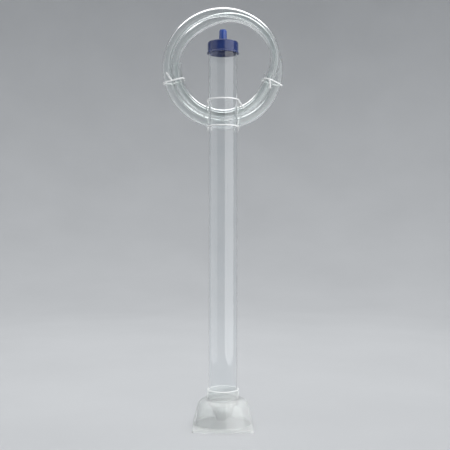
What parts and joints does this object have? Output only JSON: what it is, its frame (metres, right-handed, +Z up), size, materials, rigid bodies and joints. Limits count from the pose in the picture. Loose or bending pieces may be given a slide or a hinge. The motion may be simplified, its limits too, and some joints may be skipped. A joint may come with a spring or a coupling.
{
  "type": "gravel vacuum siphon",
  "caption": "Upright clear-tube aquarium gravel siphon: blue cap with a hose nozzle, milky bell with a square scraper foot and ball valve, and a hose coil tied behind.",
  "frame": {"origin": "centre of the bell's square foot, on the surface it stands on", "axes": "+Z up along the tube, -Y towards the front straight edge, hose coil behind at +Y"},
  "size_m": [0.2, 0.1113, 0.678],
  "materials": {
    "milky_plastic": "satin",
    "ball_plastic": "satin",
    "seal_rubber": "matte",
    "clear_plastic": "gloss",
    "blue_plastic": "gloss",
    "clear_hose": "gloss",
    "tie_wire": "satin"
  },
  "bodies": {
    "bell": {"bell": "milky_plastic"},
    "valve_insert": {"valve_funnel": "milky_plastic", "valve_cage": "milky_plastic", "collar_seal": "seal_rubber"},
    "ball": {"valve_ball": "ball_plastic"},
    "tube": {"suction_tube": "clear_plastic", "hose_coil": "clear_hose", "coil_tie_left": "tie_wire", "coil_tie_right": "tie_wire", "coil_lashing": "tie_wire"},
    "cap": {"outlet_cap": "blue_plastic", "cap_seal": "seal_rubber"}
  },
  "joints": [
    {"name": "insert_turn", "type": "hinge", "parent": "bell", "child": "valve_insert", "pos_m": [0, 0, 0.035], "axis": [0, 0, 1], "continuous": true},
    {"name": "tube_pull", "type": "slide", "parent": "valve_insert", "child": "tube", "axis": [0, 0, 1], "range_m": [0, 0.03]},
    {"name": "cap_pull", "type": "slide", "parent": "tube", "child": "cap", "axis": [0, 0, 1], "range_m": [0, 0.025]},
    {"name": "ball_lift", "type": "slide", "parent": "valve_insert", "child": "ball", "axis": [0, 0, 1], "range_m": [0, 0.007]}
  ]
}
